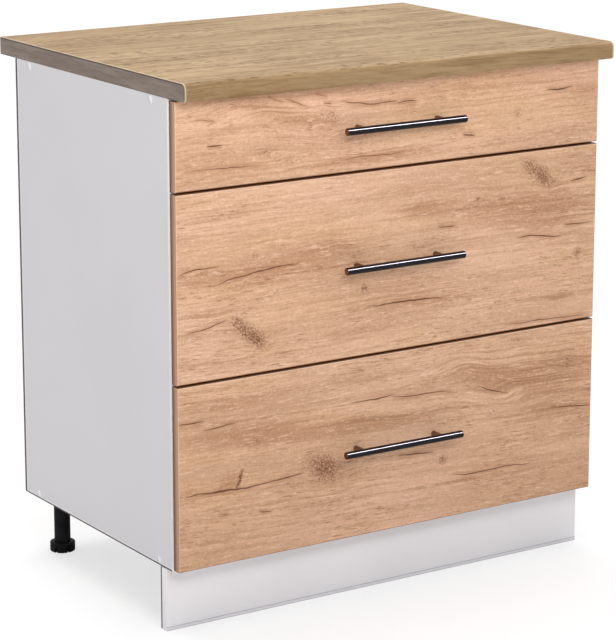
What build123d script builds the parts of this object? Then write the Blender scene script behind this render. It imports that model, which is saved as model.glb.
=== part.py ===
from build123d import *
import os

os.makedirs("parts", exist_ok=True)

# Kitchen base cabinet with three drawers: a white chipboard carcass on four screw feet, a
# clip-on plinth, oak drawer fronts with bar handles, and a postformed worktop.
# Millimetres. X runs across the unit, Y from the drawer fronts (-Y) to the wall (+Y), Z up.
# The origin is on the floor, under the middle of the worktop.

# ---- Whole unit ----
cabinet_width = 800.0  # over the outer faces of the side panels
carcass_height = 730.0
carcass_depth = 485.0  # side panel with its front edge band
leg_height = 102.0  # floor to the underside of the carcass
board = 16.0  # laminated chipboard of the carcass
edge_band = 1.0
back_sheet = 3.0  # hardboard back
back_inset = 1.0  # the back stops this far inside the carcass outline
top_rail_width = 96.0

# ---- Worktop ----
worktop_depth = 590.0
worktop_thickness = 28.0
worktop_overhang = 34.0  # past the drawer fronts
top_nose_radius = 9.0
bottom_nose_radius = 5.0
laminate = 0.8
laminate_return = 18.0  # how far the laminate is wrapped back under the front edge
end_strip = 0.8

# ---- Drawer fronts ----
front_thickness = 16.0
side_reveal = 2.0
bottom_reveal = 2.0
top_reveal = 3.0
front_gap = 3.5  # between two fronts
top_front_height = 136.0  # the two deep fronts share what is left below it
front_arris = 2.0  # rounded edges of the front's face
close_gap = 1.5  # closed front to carcass edge

# ---- Bar handles ----
bar_length = 224.0
bar_diameter = 12.0
bar_end_round = 1.2
post_spacing = 150.0
post_diameter = 9.0
bar_standoff = 27.0  # front's face to the bar's axis

# ---- Drawer boxes ----
box_board = 16.0
box_floor_clearance = 14.0  # bottom box above the bottom panel
deep_box_drop = 63.0  # upper edge of a deep box below the upper edge of its front
rail_clearance = 12.0  # top box below the top rail
box_bottom_sheet = 3.0
groove_depth = 6.0
groove_height = 8.0  # groove above the lower edge of the box
groove_play = 0.2

# ---- Ball-bearing runners, three nested steel members on each side ----
runner_length = 450.0
runner_height = 45.0
runner_thickness = 12.7
runner_sheet = 1.2
runner_play = 0.3  # between two members, where the balls run
runner_lip = 1.6  # turned edge that keeps the next member in
runner_web_gap = 1.5  # room for screw heads behind the middle member
runner_setback = 2.0  # behind the carcass edge
runner_rise = 32.0  # runner's middle above the lower edge of the box
runner_hole_inset = 37.0
runner_side_room = 2.3  # cabinet member's edge short of the drawer box
runner_middle_room = 0.6  # middle member's web to the drawer member

# ---- Legs ----
leg_inset = 48.0  # leg axis in from the outer face of the side panel
rear_leg_setback = 449.0  # rear leg axis behind the carcass edge
leg_plinth_room = 5.0  # front leg's plate behind the plinth
tube_diameter = 27.0
tube_roof = 6.0  # closed upper end of the tube
stem_diameter = 21.9
stem_fit = 0.05  # radial, stem in tube
stem_length = 45.0
foot_diameter = 42.0
foot_height = 16.0
foot_edge_round = 2.0
foot_notches = 6
foot_notch_turn = 30.0  # degrees from the X axis to the first notch
foot_notch_width = 4.0
foot_notch_depth = 6.0
foot_notch_height = 10.0
foot_seat_gap = 0.3
socket_plate = 60.0
socket_plate_thickness = 4.0
socket_corner_radius = 8.0
socket_screw_spacing = 44.0
collar_wall = 3.5
collar_length = 14.0
grip_fit = 0.1  # radial, tube in its collar and in the plinth clip

# ---- Plinth ----
plinth_setback = 20.0  # plinth's face behind the carcass edge
plinth_thickness = 16.0
plinth_top_gap = 1.0
seal_sheet = 0.8
seal_height = 6.0
clip_height = 14.0
clip_level = 45.0  # underside of the clip above the floor
clip_wall = 3.0
clip_mouth = 20.0  # opening of the ring towards the rear
clip_plate_width = 40.0
clip_arm_width = 14.0

# ---- Fasteners; a grip is the length held in the second piece ----
hole_play = 0.05  # radial, round every screw and nail
confirmat_grip = 34.0
confirmat_head_diameter = 10.0
confirmat_head_height = 3.0
confirmat_neck_diameter = 7.0
confirmat_thread_diameter = 5.0
confirmat_hex = 4.0
confirmat_hex_depth = 3.0
front_confirmat_inset = 40.0  # in from the front edge of the bottom panel, clear of the front leg's screws
rear_confirmat_inset = 48.0  # in from the rear edge of the bottom panel
cap_diameter = 12.0
cap_thickness = 1.0
cap_stub_diameter = 3.6
cap_stub_length = 2.4
wood_screw_diameter = 3.5
wood_screw_head_diameter = 7.0
wood_screw_head_height = 2.0
wood_screw_tip = 3.0
socket_screw_grip = 11.0
clip_screw_grip = 11.0
worktop_screw_grip = 14.0
front_screw_grip = 12.0
front_screw_inset = 60.0  # in from the inside of the box
corner_screw_grip = 24.0
corner_screw_inset = 20.0  # in from the upper and lower edges of the box
runner_screw_length = 12.0  # below the head
runner_screw_head_diameter = 6.4
runner_screw_head_height = 1.1
handle_screw_diameter = 4.0
handle_screw_grip = 12.0
handle_screw_head_diameter = 8.0
handle_screw_head_height = 2.4
nail_diameter = 1.4
nail_head_diameter = 3.2
nail_head_height = 0.5
nail_length = 20.0
nails_up_side = 5
nails_across_half = 3

# ---- Planes that the pieces share ----
half_width = cabinet_width / 2
inner_half = half_width - board
carcass_bottom = leg_height
carcass_top = leg_height + carcass_height
bottom_top = carcass_bottom + board
rail_bottom = carcass_top - board
front_face = -worktop_depth / 2 + worktop_overhang
front_back = front_face + front_thickness
carcass_front = front_back + close_gap
board_front = carcass_front + edge_band
carcass_rear = carcass_front + carcass_depth
front_rail_middle = board_front + top_rail_width / 2
rear_rail_middle = carcass_rear - top_rail_width / 2
runner_front = carcass_front + runner_setback
runner_rear = runner_front + runner_length
box_half = inner_half - runner_thickness
box_inner_half = box_half - box_board
box_front = front_back
box_rear = runner_rear
box_inner_front = box_front + box_board
box_inner_rear = box_rear - box_board
plinth_face = carcass_front + plinth_setback
plinth_rear = plinth_face + plinth_thickness
front_leg_y = plinth_rear + leg_plinth_room + socket_plate / 2
rear_leg_y = carcass_front + rear_leg_setback
tube_bottom = foot_height + foot_seat_gap
tube_top = carcass_bottom - socket_plate_thickness
cut_past = 1.0  # how far a hole or slot is cut past an open face

# Each drawer's name, the lower and upper edge of its front, and of its box.
box_lift = board - bottom_reveal + box_floor_clearance
shared_height = carcass_height - bottom_reveal - top_reveal - 2 * front_gap - top_front_height
drawers = []
front_low = carcass_bottom + bottom_reveal
for drawer_name in ("bottom", "middle"):
    front_high = front_low + shared_height / 2
    drawers.append((drawer_name, front_low, front_high, front_low + box_lift, front_high - deep_box_drop))
    front_low = front_high + front_gap
top_box_high = rail_bottom - rail_clearance
drawers.append(("top", front_low, front_low + top_front_height, front_low + box_lift, top_box_high))


# ---- Helpers ----
def block(x0, x1, y0, y1, z0, z1):
    """A box between two corners."""
    return Pos((x0 + x1) / 2, (y0 + y1) / 2, (z0 + z1) / 2) * Box(x1 - x0, y1 - y0, z1 - z0)


def rod(point, direction, diameter, length):
    """A round bar that starts at a point and runs along a direction."""
    bar = Cylinder(diameter / 2, length, align=(Align.CENTER, Align.CENTER, Align.MIN))
    return along(point, direction) * bar


def along(point, direction):
    """The place at a point whose Z axis runs along a direction."""
    return Plane(origin=point, z_dir=direction).location


def turned(outline):
    """A solid of revolution about Z from (radius, height) points."""
    points = [(radius, 0, height) for radius, height in outline]
    return revolve(make_face(Polyline(*points, close=True)), Axis.Z)


def cut(piece, tools):
    """A piece with tools taken out of it."""
    for tool in tools:
        piece = piece - tool
    return piece


def mirrored(pieces):
    """Left-hand pieces with their right-hand copies."""
    return pieces + [mirror(piece, about=Plane.YZ) for piece in pieces]


def placed(make, seats, *sizes):
    """Copies of a fastener, or of its hole, at every (point, direction) seat."""
    return [along(point, direction) * make(*sizes) for point, direction in seats]


def save(name, pieces):
    """Writes a sub-part: one solid, or a group of separate ones."""
    solids = [solid for piece in pieces for solid in piece.solids()]
    shape = solids[0] if len(solids) == 1 else Compound(children=solids)
    export_step(shape, f"parts/{name}.step")


# ---- Fasteners, drawn along +Z from the face they enter; a play makes the hole instead ----
def confirmat(play=0.0):
    """Chipboard connecting screw with a hexagon socket, flush with the side panel."""
    head = confirmat_head_diameter / 2 + play
    neck = confirmat_neck_diameter / 2 + play
    thread = confirmat_thread_diameter / 2 + play
    start = -cut_past if play else 0.0
    end = board + confirmat_grip + play
    outline = [(0, start), (head, start), (head, confirmat_head_height + play)]
    outline += [(neck, confirmat_head_height + play), (neck, board + play)]
    outline += [(thread, board + play), (thread, end - thread), (0, end)]
    screw = turned(outline)
    if play:
        return screw
    return screw - extrude(RegularPolygon(confirmat_hex / 2, 6, major_radius=False), confirmat_hex_depth)


def screw_cap():
    """Flat cap with a stub that plugs the hexagon of the connecting screw."""
    stub = cap_stub_diameter / 2
    rim = cap_diameter / 2
    edge = cap_thickness / 2
    outline = [(0, -cap_thickness), (rim - edge, -cap_thickness), (rim, -edge), (rim, 0)]
    return turned(outline + [(stub, 0), (stub, cap_stub_length), (0, cap_stub_length)])


def wood_screw(length, play=0.0):
    """Countersunk chipboard screw with its head flush."""
    head = wood_screw_head_diameter / 2 + play
    shank = wood_screw_diameter / 2 + play
    mouth = [(0, -cut_past), (head, -cut_past), (head, 0)] if play else [(0, 0), (head, 0)]
    body = [(shank, wood_screw_head_height + play), (shank, length - wood_screw_tip + play)]
    return turned(mouth + body + [(0, length + play)])


def headed(length, diameter, head_diameter, head_height, play):
    """Screw or nail whose flat head stands on the face."""
    shank = diameter / 2 + play
    head = head_diameter / 2
    top = [(0, -cut_past), (shank, -cut_past)] if play else [(0, -head_height), (head, -head_height), (head, 0)]
    return turned(top + [(shank, 0), (shank, length - diameter + play), (0, length + play)])


def runner_screw(play=0.0):
    head = (runner_screw_head_diameter, runner_screw_head_height)
    return headed(runner_screw_length, wood_screw_diameter, *head, play)


def handle_screw(play=0.0):
    length = box_board + front_thickness + handle_screw_grip
    return headed(length, handle_screw_diameter, handle_screw_head_diameter, handle_screw_head_height, play)


def nail(play=0.0):
    return headed(nail_length, nail_diameter, nail_head_diameter, nail_head_height, play)


# ---- Seats of the fasteners as (point, direction); the left-hand half where they are mirrored ----
bottom_middle = carcass_bottom + board / 2
rail_middle = carcass_top - board / 2
confirmat_seats = [
    ((-half_width, board_front + front_confirmat_inset, bottom_middle), (1, 0, 0)),
    ((-half_width, carcass_rear - rear_confirmat_inset, bottom_middle), (1, 0, 0)),
    ((-half_width, front_rail_middle, rail_middle), (1, 0, 0)),
    ((-half_width, rear_rail_middle, rail_middle), (1, 0, 0)),
]

nail_wall = carcass_rear + back_sheet
nail_places = []
for step in range(nails_up_side):
    level = carcass_bottom + carcass_height * (step + 0.5) / nails_up_side
    nail_places.append((half_width - board / 2, level))
for step in range(nails_across_half):
    reach = inner_half * (step + 0.5) / nails_across_half
    nail_places += [(reach, bottom_middle), (reach, rail_middle)]
nail_seats = [((-reach, nail_wall, level), (0, -1, 0)) for reach, level in nail_places]

leg_x = half_width - leg_inset
leg_axes = {
    "front_left": (-leg_x, front_leg_y),
    "front_right": (leg_x, front_leg_y),
    "rear_left": (-leg_x, rear_leg_y),
    "rear_right": (leg_x, rear_leg_y),
}
socket_screw_reach = socket_screw_spacing / 2
socket_seats = [
    ((-leg_x + dx * socket_screw_reach, y + dy * socket_screw_reach, tube_top), (0, 0, 1))
    for y in (front_leg_y, rear_leg_y)
    for dx in (-1, 1)
    for dy in (-1, 1)
]
socket_screw_length = socket_plate_thickness + socket_screw_grip

clip_screw_level = clip_level + clip_height / 2
clip_screw_reach = (clip_plate_width + clip_arm_width) / 4
clip_seats = [
    ((-leg_x + dx * clip_screw_reach, plinth_rear + clip_wall, clip_screw_level), (0, -1, 0)) for dx in (-1, 1)
]
clip_screw_length = clip_wall + clip_screw_grip

worktop_seats = [
    ((-inner_half / 2, y, rail_bottom), (0, 0, 1)) for y in (front_rail_middle, rear_rail_middle)
]
worktop_screw_length = board + worktop_screw_grip

runner_screw_y = (
    runner_front + runner_hole_inset,
    (runner_front + runner_rear) / 2,
    runner_rear - runner_hole_inset,
)


def cabinet_runner_seats(level):
    """Screws that hold the cabinet member of a runner at one level."""
    return [((-inner_half + runner_sheet, y, level), (-1, 0, 0)) for y in runner_screw_y]


all_runner_seats = []
for *_, box_low, _ in drawers:
    all_runner_seats += cabinet_runner_seats(box_low + runner_rise)

# ---- Carcass ----
left_confirmat_holes = placed(confirmat, confirmat_seats, hole_play)
confirmat_holes = mirrored(left_confirmat_holes)
left_nail_holes = placed(nail, nail_seats, hole_play)
nail_holes = mirrored(left_nail_holes)
socket_holes = mirrored(placed(wood_screw, socket_seats, socket_screw_length, hole_play))
worktop_holes = mirrored(placed(wood_screw, worktop_seats, worktop_screw_length, hole_play))

side_panel = block(-half_width, -inner_half, board_front, carcass_rear, carcass_bottom, carcass_top)
side_runner_holes = placed(runner_screw, all_runner_seats, hole_play)
side_panel = cut(side_panel, left_confirmat_holes + left_nail_holes + side_runner_holes)
save("side_panel_left", [side_panel])
save("side_panel_right", [mirror(side_panel, about=Plane.YZ)])

bottom_panel = block(-inner_half, inner_half, board_front, carcass_rear, carcass_bottom, bottom_top)
save("bottom_panel", [cut(bottom_panel, confirmat_holes + nail_holes + socket_holes)])

front_rail_rear = board_front + top_rail_width
front_rail = block(-inner_half, inner_half, board_front, front_rail_rear, rail_bottom, carcass_top)
save("top_rail_front", [cut(front_rail, confirmat_holes + worktop_holes)])

rear_rail_front = carcass_rear - top_rail_width
rear_rail = block(-inner_half, inner_half, rear_rail_front, carcass_rear, rail_bottom, carcass_top)
save("top_rail_rear", [cut(rear_rail, confirmat_holes + nail_holes + worktop_holes)])

back_half = half_width - back_inset
back_low = carcass_bottom + back_inset
back_high = carcass_top - back_inset
back_panel = block(-back_half, back_half, carcass_rear, nail_wall, back_low, back_high)
save("back_panel", [cut(back_panel, nail_holes)])

side_band = block(-half_width, -inner_half, carcass_front, board_front, carcass_bottom, carcass_top)
bottom_band = block(-inner_half, inner_half, carcass_front, board_front, carcass_bottom, bottom_top)
rail_band = block(-inner_half, inner_half, carcass_front, board_front, rail_bottom, carcass_top)
save("carcass_edge_bands", mirrored([side_band]) + [bottom_band, rail_band])

save("confirmat_screws", mirrored(placed(confirmat, confirmat_seats)))
save("screw_caps", mirrored(placed(screw_cap, confirmat_seats)))
save("back_panel_nails", mirrored(placed(nail, nail_seats)))

# ---- Worktop: chipboard core, laminate wrapped over its rounded front, strips on the ends ----
worktop_front = -worktop_depth / 2
worktop_rear = worktop_depth / 2
worktop_top = carcass_top + worktop_thickness


def nosed(inset, half_length):
    """Slab along X with a rounded front edge, inset all round the front by the laminate."""
    low = carcass_top + inset
    high = worktop_top - inset
    slab = block(-half_length, half_length, worktop_front + inset, worktop_rear, low, high)
    front_edges = slab.edges().filter_by(Axis.X).group_by(Axis.Y)[0].sort_by(Axis.Z)
    slab = fillet(front_edges[-1], top_nose_radius - inset)
    lower_edges = slab.edges().filter_by(Axis.X).group_by(Axis.Z)[0].sort_by(Axis.Y)
    return fillet(lower_edges[0], bottom_nose_radius - inset)


def core_body(half_length):
    """Core with its step down to the underside, behind the end of the laminate."""
    step_front = worktop_front + laminate_return
    step_top = carcass_top + 2 * laminate
    step = block(-half_length, half_length, step_front, worktop_rear, carcass_top, step_top)
    return nosed(laminate, half_length) + step


core_half = half_width - end_strip
save("worktop_core", [cut(core_body(core_half), worktop_holes)])
save("worktop_laminate", [nosed(0, half_width) - core_body(half_width + cut_past)])
end_zone = block(-half_width, -core_half, worktop_front, worktop_rear, carcass_top, worktop_top)
save("worktop_end_strips", mirrored([core_body(half_width) & end_zone]))
save("worktop_screws", mirrored(placed(wood_screw, worktop_seats, worktop_screw_length)))


# ---- Runners ----
def runner_member(rectangles, level):
    """Left-hand rolled section from (x0, x1, z0, z1) rectangles of its upper half.

    X is measured from the inner face of the side panel, Z from the middle of the runner."""
    pieces = []
    for x0, x1, z0, z1 in rectangles:
        for low, high in ((z0, z1), (-z1, -z0)):
            outline = (-inner_half + x0, -inner_half + x1, runner_front, runner_rear)
            pieces.append(block(*outline, level + low, level + high))
    return pieces[0].fuse(*pieces[1:])


def runner_members(level):
    """Cabinet, middle and drawer members of the left-hand runner."""
    sheet = runner_sheet
    nest = runner_sheet + runner_play
    outer_top = runner_height / 2
    outer_edge = runner_thickness - runner_side_room
    outer = [
        (0, sheet, 0, outer_top),
        (0, outer_edge, outer_top - sheet, outer_top),
        (outer_edge - sheet, outer_edge, outer_top - sheet - runner_lip, outer_top),
    ]
    middle_top = outer_top - nest
    middle_web = sheet + runner_web_gap
    middle_edge = outer_edge - nest
    middle_lip = middle_top - sheet - runner_lip
    middle = [
        (middle_web, middle_web + sheet, 0, middle_top),
        (middle_web, middle_edge, middle_top - sheet, middle_top),
        (middle_edge - sheet, middle_edge, middle_lip, middle_top),
    ]
    curl_top = middle_top - nest
    curl_start = middle_web + sheet + runner_middle_room
    curl_edge = middle_edge - nest
    neck_top = middle_lip - runner_play
    inner = [
        (curl_start, curl_edge, curl_top - sheet, curl_top),
        (curl_edge - sheet, curl_edge, neck_top - sheet, curl_top),
        (curl_edge - sheet, runner_thickness, neck_top - sheet, neck_top),
        (runner_thickness - sheet, runner_thickness, 0, neck_top),
    ]
    return [runner_member(rectangles, level) for rectangles in (outer, middle, inner)]


# ---- Drawers ----
def drawer_front(low, high):
    """Front panel with a rounded arris round its face."""
    reach = half_width - side_reveal
    panel = block(-reach, reach, front_face, front_back, low, high)
    return fillet(panel.faces().sort_by(Axis.Y)[0].edges(), front_arris)


def handle_bar(level):
    """Round bar with softened ends."""
    bar = rod((-bar_length / 2, front_face - bar_standoff, level), (1, 0, 0), bar_diameter, bar_length)
    return fillet(bar.edges().filter_by(GeomType.CIRCLE), bar_end_round)


for drawer_name, front_low, front_high, box_low, box_high in drawers:
    handle_level = (front_low + front_high) / 2
    runner_level = box_low + runner_rise
    screw_levels = (box_low + corner_screw_inset, box_high - corner_screw_inset)

    handle_seats = [((-post_spacing / 2, box_inner_front, handle_level), (0, -1, 0))]
    front_x = -box_inner_half + front_screw_inset
    front_seats = [((front_x, box_inner_front, z), (0, -1, 0)) for z in screw_levels]
    front_screw_length = box_board + front_screw_grip
    corner_y = (box_front + box_board / 2, box_rear - box_board / 2)
    corner_seats = [((-box_half, y, z), (1, 0, 0)) for y in corner_y for z in screw_levels]
    corner_screw_length = box_board + corner_screw_grip
    member_seats = [((-box_half - runner_sheet, y, runner_level), (1, 0, 0)) for y in runner_screw_y]

    handle_holes = mirrored(placed(handle_screw, handle_seats, hole_play))
    front_holes = mirrored(placed(wood_screw, front_seats, front_screw_length, hole_play))
    corner_holes = mirrored(placed(wood_screw, corner_seats, corner_screw_length, hole_play))
    member_holes = placed(runner_screw, member_seats, hole_play)

    save(f"{drawer_name}_drawer_front", [cut(drawer_front(front_low, front_high), handle_holes + front_holes)])

    bar = handle_bar(handle_level)
    post = rod((-post_spacing / 2, front_face, handle_level), (0, -1, 0), post_diameter, bar_standoff)
    save(f"{drawer_name}_handle_bar", [bar])
    save(f"{drawer_name}_handle_posts", mirrored([cut(post - bar, handle_holes)]))

    # The bottom sheet lies in a groove round the inside of the box.
    sheet_half = box_inner_half + groove_depth - groove_play
    sheet_front = box_inner_front - groove_depth + groove_play
    sheet_rear = box_inner_rear + groove_depth - groove_play
    sheet_low = box_low + groove_height
    sheet_high = sheet_low + box_bottom_sheet
    groove_half = sheet_half + groove_play
    groove_front = sheet_front - groove_play
    groove_rear = sheet_rear + groove_play
    groove = block(-groove_half, groove_half, groove_front, groove_rear, sheet_low, sheet_high + groove_play)
    sheet = block(-sheet_half, sheet_half, sheet_front, sheet_rear, sheet_low, sheet_high)
    save(f"{drawer_name}_drawer_bottom", [sheet])

    box_side = block(-box_half, -box_inner_half, box_front, box_rear, box_low, box_high)
    box_side = cut(box_side, corner_holes + member_holes + [groove])
    save(f"{drawer_name}_drawer_side_left", [box_side])
    save(f"{drawer_name}_drawer_side_right", [mirror(box_side, about=Plane.YZ)])

    inner_front = block(-box_inner_half, box_inner_half, box_front, box_inner_front, box_low, box_high)
    inner_front = cut(inner_front, corner_holes + front_holes + handle_holes + [groove])
    save(f"{drawer_name}_drawer_inner_front", [inner_front])
    box_back = block(-box_inner_half, box_inner_half, box_inner_rear, box_rear, box_low, box_high)
    save(f"{drawer_name}_drawer_back", [cut(box_back, corner_holes + [groove])])

    outer, middle, inner = runner_members(runner_level)
    outer_holes = placed(runner_screw, cabinet_runner_seats(runner_level), hole_play)
    save(f"{drawer_name}_runners_cabinet", mirrored([cut(outer, outer_holes)]))
    save(f"{drawer_name}_runners_middle", mirrored([middle]))
    save(f"{drawer_name}_runners_drawer", mirrored([cut(inner, member_holes)]))

    screws = placed(handle_screw, handle_seats)
    screws += placed(wood_screw, front_seats, front_screw_length)
    screws += placed(wood_screw, corner_seats, corner_screw_length)
    screws += placed(runner_screw, member_seats)
    save(f"{drawer_name}_drawer_screws", mirrored(screws))


# ---- Legs: a socket on the carcass, a tube in it, and a foot on a screw stem ----
def leg_socket(x, y):
    """Plate under the bottom panel with a collar round the tube."""
    outline = RectangleRounded(socket_plate, socket_plate, socket_corner_radius)
    plate = Pos(x, y, tube_top) * extrude(outline, socket_plate_thickness)
    bore = tube_diameter + 2 * grip_fit
    collar = rod((x, y, tube_top), (0, 0, -1), bore + 2 * collar_wall, collar_length)
    return cut(plate + collar, [rod((x, y, tube_top), (0, 0, -1), bore, collar_length + cut_past)] + socket_holes)


def leg_tube(x, y):
    """Round tube, open below for the stem of the foot."""
    outer = tube_diameter / 2
    bore = stem_diameter / 2 + stem_fit
    bore_top = tube_top - tube_roof
    outline = [(bore, tube_bottom), (outer, tube_bottom), (outer, tube_top), (0, tube_top)]
    return Pos(x, y, 0) * turned(outline + [(0, bore_top), (bore, bore_top)])


def foot(x, y):
    """Round foot with a notched rim, on the stem that screws into the tube."""
    pad = rod((0, 0, 0), (0, 0, 1), foot_diameter, foot_height)
    pad = fillet(pad.edges().filter_by(GeomType.CIRCLE), foot_edge_round)
    pad = pad + rod((0, 0, foot_height / 2), (0, 0, 1), stem_diameter, foot_height / 2 + stem_length)
    rim = foot_diameter / 2
    half_notch = foot_notch_width / 2
    notch = block(rim - foot_notch_depth, rim + cut_past, -half_notch, half_notch, -cut_past, foot_notch_height)
    turns = [foot_notch_turn + 360 * step / foot_notches for step in range(foot_notches)]
    pad = cut(pad, [Rot(0, 0, turn) * notch for turn in turns])
    return Pos(x, y, 0) * pad


save("leg_sockets", [leg_socket(x, y) for x, y in leg_axes.values()])
save("leg_tubes", [leg_tube(x, y) for x, y in leg_axes.values()])
for corner, (x, y) in leg_axes.items():
    save(f"foot_{corner}", [foot(x, y)])

# ---- Plinth: a board in a sealing strip, clipped to the front legs ----
clip_holes = mirrored(placed(wood_screw, clip_seats, clip_screw_length, hole_play))
plinth_high = carcass_bottom - plinth_top_gap
plinth = block(-half_width, half_width, plinth_face, plinth_rear, seal_sheet, plinth_high)
save("plinth_board", [cut(plinth, clip_holes)])

seal = block(-half_width, half_width, plinth_face - seal_sheet, plinth_rear + seal_sheet, 0, seal_height)
save("plinth_seal", [seal - block(-half_width, half_width, plinth_face, plinth_rear, seal_sheet, seal_height)])


def plinth_clip(x, y):
    """Open ring that snaps on a front leg, and its plate on the back of the plinth."""
    high = clip_level + clip_height
    inner = tube_diameter / 2 + grip_fit
    outer = inner + clip_wall
    ring = rod((x, y, clip_level), (0, 0, 1), 2 * outer, clip_height)
    arm_half = clip_arm_width / 2
    arm = block(x - arm_half, x + arm_half, plinth_rear, y, clip_level, high)
    plate_half = clip_plate_width / 2
    plate = block(x - plate_half, x + plate_half, plinth_rear, plinth_rear + clip_wall, clip_level, high)
    bore = rod((x, y, clip_level - cut_past), (0, 0, 1), 2 * inner, clip_height + 2 * cut_past)
    mouth_half = clip_mouth / 2
    mouth = block(x - mouth_half, x + mouth_half, y, y + outer + cut_past, clip_level - cut_past, high + cut_past)
    return cut(ring + arm + plate, [bore, mouth] + clip_holes)


save("plinth_clips", [plinth_clip(*leg_axes["front_left"]), plinth_clip(*leg_axes["front_right"])])

chipboard_screws = placed(wood_screw, socket_seats, socket_screw_length)
chipboard_screws += placed(wood_screw, clip_seats, clip_screw_length)
chipboard_screws += placed(runner_screw, all_runner_seats)
save("chipboard_screws", mirrored(chipboard_screws))
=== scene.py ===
# %% [markdown]
# # Dressing a kitchen base cabinet in Blender
#
# The cabinet is 800 mm wide: a white chipboard carcass on black levelling legs, three drawers with knotty
# oak fronts and dark bar handles, a white plinth and an oak worktop with a rounded front edge.
# Its construction comes ready made, one object for each piece, at real size and in metres. This lesson
# gives every piece its finish, models the small hardware that the construction leaves plain, and lights
# and photographs the whole. Modelling the boards again here would only risk making them differ.
#
# +X is the cabinet's right, -Y its front and +Z up. The origin is on the floor, under the middle.

# %% Load the construction
import math

import bpy
from mathutils import Matrix, Vector


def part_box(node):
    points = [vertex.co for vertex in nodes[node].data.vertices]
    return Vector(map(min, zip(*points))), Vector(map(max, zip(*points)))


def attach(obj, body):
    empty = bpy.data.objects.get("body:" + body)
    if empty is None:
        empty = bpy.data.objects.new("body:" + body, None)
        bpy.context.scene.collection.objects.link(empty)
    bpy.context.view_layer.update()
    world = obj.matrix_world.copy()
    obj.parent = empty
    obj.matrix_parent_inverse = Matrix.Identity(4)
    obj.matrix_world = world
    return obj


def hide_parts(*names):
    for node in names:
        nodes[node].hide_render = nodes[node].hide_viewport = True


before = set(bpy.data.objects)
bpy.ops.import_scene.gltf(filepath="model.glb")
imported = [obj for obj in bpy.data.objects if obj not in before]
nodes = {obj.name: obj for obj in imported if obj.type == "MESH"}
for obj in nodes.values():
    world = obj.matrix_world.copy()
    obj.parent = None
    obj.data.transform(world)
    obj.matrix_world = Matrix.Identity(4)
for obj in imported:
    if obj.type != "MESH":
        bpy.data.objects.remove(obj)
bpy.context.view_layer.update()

# %% [markdown]
# ## Where things are
#
# A finish that has to meet an edge, and every new piece, takes its place from the construction and so
# follows it when a size changes. Measuring the boxes of a few pieces is enough for that. Only what is
# printed on the fronts, such as a knot, has a place of its own.

# %% Measure the pieces
MM = 0.001
DRAWERS = ("top", "middle", "bottom")
front_boxes = {name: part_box(f"{name}_drawer_front") for name in DRAWERS}
worktop_low, worktop_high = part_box("worktop_laminate")
print("worktop from", round(worktop_low.z, 3), "to", round(worktop_high.z, 3))


# %% [markdown]
# ## A few words for building materials
#
# A Blender material is a small network: patterns feed colours, and colours feed a surface shader. A
# photograph of each board would be quicker, but it has one size and one light, while a pattern made from
# noise stays sharp from close by. Wiring it by hand takes many lines, so these helpers add a node, set or
# connect its inputs, and hand back the output. A recipe is then little more than a list of coats of
# colour, each laid where its pattern says.

# %% Helpers for the node networks
def set_inputs(tree, node, inputs):
    """Sets inputs that are numbers or colours, and connects those that are outputs of other nodes."""
    for key, value in inputs.items():
        if isinstance(value, bpy.types.NodeSocket):
            tree.links.new(value, node.inputs[key])
        else:
            node.inputs[key].default_value = value


def add_node(tree, kind, inputs=None, **settings):
    """Adds a node, applies its settings, and then sets its inputs."""
    node = tree.nodes.new(kind)
    for name, value in settings.items():
        setattr(node, name, value)
    set_inputs(tree, node, inputs or {})
    return node


def calc(tree, operation, *values):
    """One step of arithmetic on numbers and node outputs."""
    return add_node(tree, "ShaderNodeMath", dict(enumerate(values)), operation=operation).outputs[0]


def times(tree, first, second):
    """Multiplies two numbers or node outputs."""
    return calc(tree, "MULTIPLY", first, second)


# %% Helpers for colours and patterns
MIX_FIRST, MIX_SECOND, MIX_RESULT = 6, 7, 2  # sockets of the Mix node when it blends colours


def blend_colors(tree, share, first, second):
    """Goes from the first colour to the second as share goes from 0 to 1."""
    inputs = {"Factor": share, MIX_FIRST: first, MIX_SECOND: second}
    return add_node(tree, "ShaderNodeMix", inputs, data_type="RGBA").outputs[MIX_RESULT]


def color(red, green, blue):
    """A colour as it looks on screen, 0 to 255, turned into the light values that shaders use."""
    screen = [value / 255 for value in (red, green, blue)]
    return (*[value / 12.92 if value < 0.04 else ((value + 0.055) / 1.055) ** 2.4 for value in screen], 1.0)


def ramp(tree, value, low, high):
    """0 at low, 1 at high, and a soft step between; low may be the larger."""
    inputs = {"Value": value, "From Min": low, "From Max": high}
    return add_node(tree, "ShaderNodeMapRange", inputs, interpolation_type="SMOOTHSTEP").outputs[0]


def noise(tree, place, stretch, detail=2.0, roughness=0.5, offset=(0.0, 0.0, 0.0)):
    """Cloudy noise, mostly from 0.3 to 0.7. A larger stretch, one number or three, makes it finer."""
    if isinstance(stretch, float):
        stretch = (stretch, stretch, stretch)
    mapped = add_node(tree, "ShaderNodeMapping", {"Vector": place, "Location": offset, "Scale": stretch})
    inputs = {"Vector": mapped.outputs[0], "Scale": 1.0, "Detail": detail, "Roughness": roughness}
    return add_node(tree, "ShaderNodeTexNoise", inputs).outputs["Fac"]


def paint(tree, tone, *coats):
    """Lays coats of colour over a tone, one after the other.

    A coat is (pattern, low, high, strength, colour). It covers more as its pattern goes from low to high.
    """
    for pattern, low, high, strength, over in coats:
        share = times(tree, ramp(tree, pattern, low, high), strength)
        tone = blend_colors(tree, share, tone, over)
    return tone


# %% Helpers for materials
def new_material(name, base, roughness, metallic=0.0, specular=0.5):
    """A material with its principled shader set; returns it with its tree and shader."""
    material = bpy.data.materials.new(name)
    material.use_nodes = True
    tree = material.node_tree
    shader = tree.nodes["Principled BSDF"]
    set_inputs(tree, shader, {
        "Base Color": base, "Roughness": roughness, "Metallic": metallic, "Specular IOR Level": specular,
    })
    return material, tree, shader


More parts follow.
